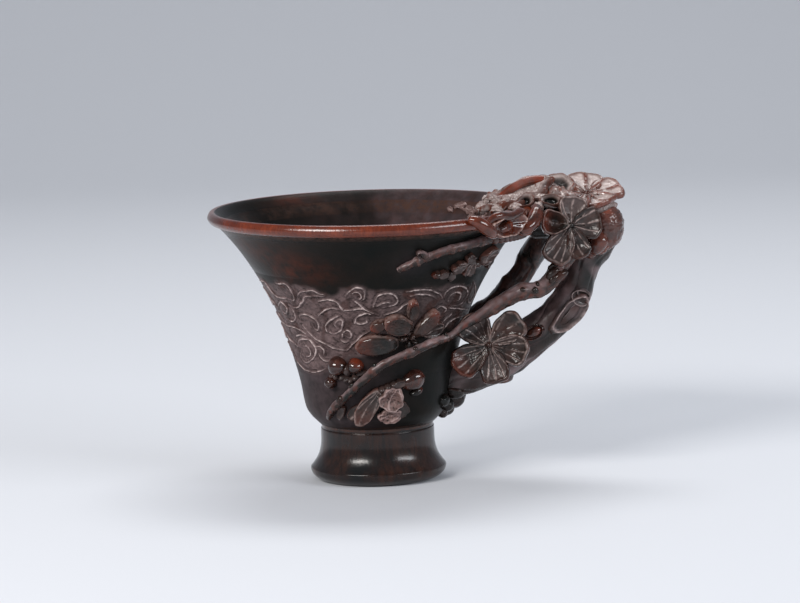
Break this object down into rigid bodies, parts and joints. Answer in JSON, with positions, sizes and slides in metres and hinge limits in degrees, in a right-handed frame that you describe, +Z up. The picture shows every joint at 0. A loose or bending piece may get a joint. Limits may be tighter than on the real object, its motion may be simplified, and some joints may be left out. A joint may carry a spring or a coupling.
{
  "type": "horn drinking cup",
  "caption": "Carved horn drinking cup with a flared bowl, a waisted foot and a handle shaped as a flowering plum branch that rises over the lip.",
  "frame": {"origin": "centre of the round face that the cup rests on", "axes": "+Z up along the bowl's axis, +X from the bowl to the handle, -Y to the side with the raised blossoms"},
  "size_m": [0.1507, 0.118, 0.1084],
  "materials": {
    "bowl_horn": "satin, near-black brown horn with faint red patches",
    "lip_horn": "polished translucent red-brown horn",
    "foot_horn": "polished near-black horn with brown grain",
    "branch_horn": "satin dark brown horn, rubbed lighter on top",
    "petal_horn": "glossy red-brown edges over dark hollows",
    "crown_horn": "red-brown horn with pale dust in the hollows",
    "scroll_horn": "matt pinkish-brown carved ground with paler lines"
  },
  "bodies": {
    "root": {"bowl": "bowl_horn", "lip": "lip_horn", "foot": "foot_horn", "trunk": "branch_horn", "trunk_stump": "branch_horn", "trunk_scar": "branch_horn", "trunk_eye": "petal_horn", "trunk_bark": "crown_horn", "front_branch": "branch_horn", "branch_buds": "petal_horn", "branch_knots": "petal_horn", "rear_branch": "branch_horn", "root_knobs": "branch_horn", "crown_bridge": "branch_horn", "crown": "crown_horn", "crown_leaves": "crown_horn", "crown_bud": "petal_horn", "top_blossom": "crown_horn", "front_blossom": "petal_horn", "low_blossom": "petal_horn", "rim_petals": "petal_horn", "upper_twig": "branch_horn", "upper_blossom": "petal_horn", "side_blossom": "petal_horn", "bud_group": "petal_horn", "relief_blossom": "petal_horn", "rear_blossom": "petal_horn", "rear_buds": "petal_horn", "mouth_sprig": "crown_horn", "scroll_band": "scroll_horn", "rear_scroll_band": "scroll_horn"}
  },
  "joints": []
}
